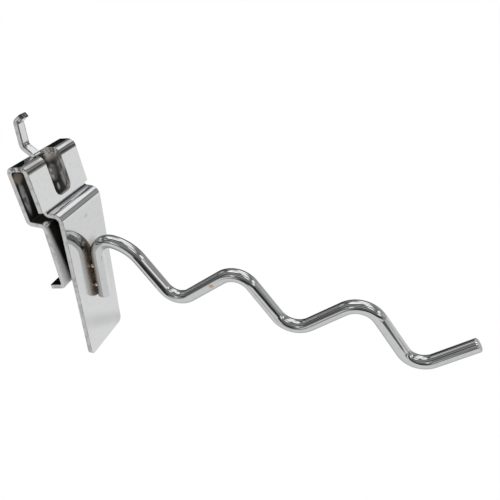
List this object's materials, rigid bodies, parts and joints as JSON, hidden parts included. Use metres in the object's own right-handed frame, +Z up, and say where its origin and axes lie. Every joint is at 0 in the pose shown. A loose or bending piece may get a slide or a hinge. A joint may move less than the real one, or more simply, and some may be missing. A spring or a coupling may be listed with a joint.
{
  "type": "pegboard hook",
  "caption": "Pegboard hook: a folded chrome bracket with a bent peg and a sloping plate, and a waved wire arm that steps down and outwards in valleys.",
  "frame": {"origin": "on the board's face, in the middle of the bracket's width, where the peg enters the board, level with the bracket's flat top", "axes": "+X right seen from the front, +Y back into the board, +Z up; the arm runs out along -Y"},
  "size_m": [0.03, 0.149, 0.1043],
  "materials": {
    "sheet": "bright plated sheet",
    "wire": "bright plated wire",
    "weld": "plated weld bead"
  },
  "bodies": {
    "root": {"bracket": "sheet", "wave_rod": "wire", "weld_beads": "weld"}
  },
  "joints": []
}
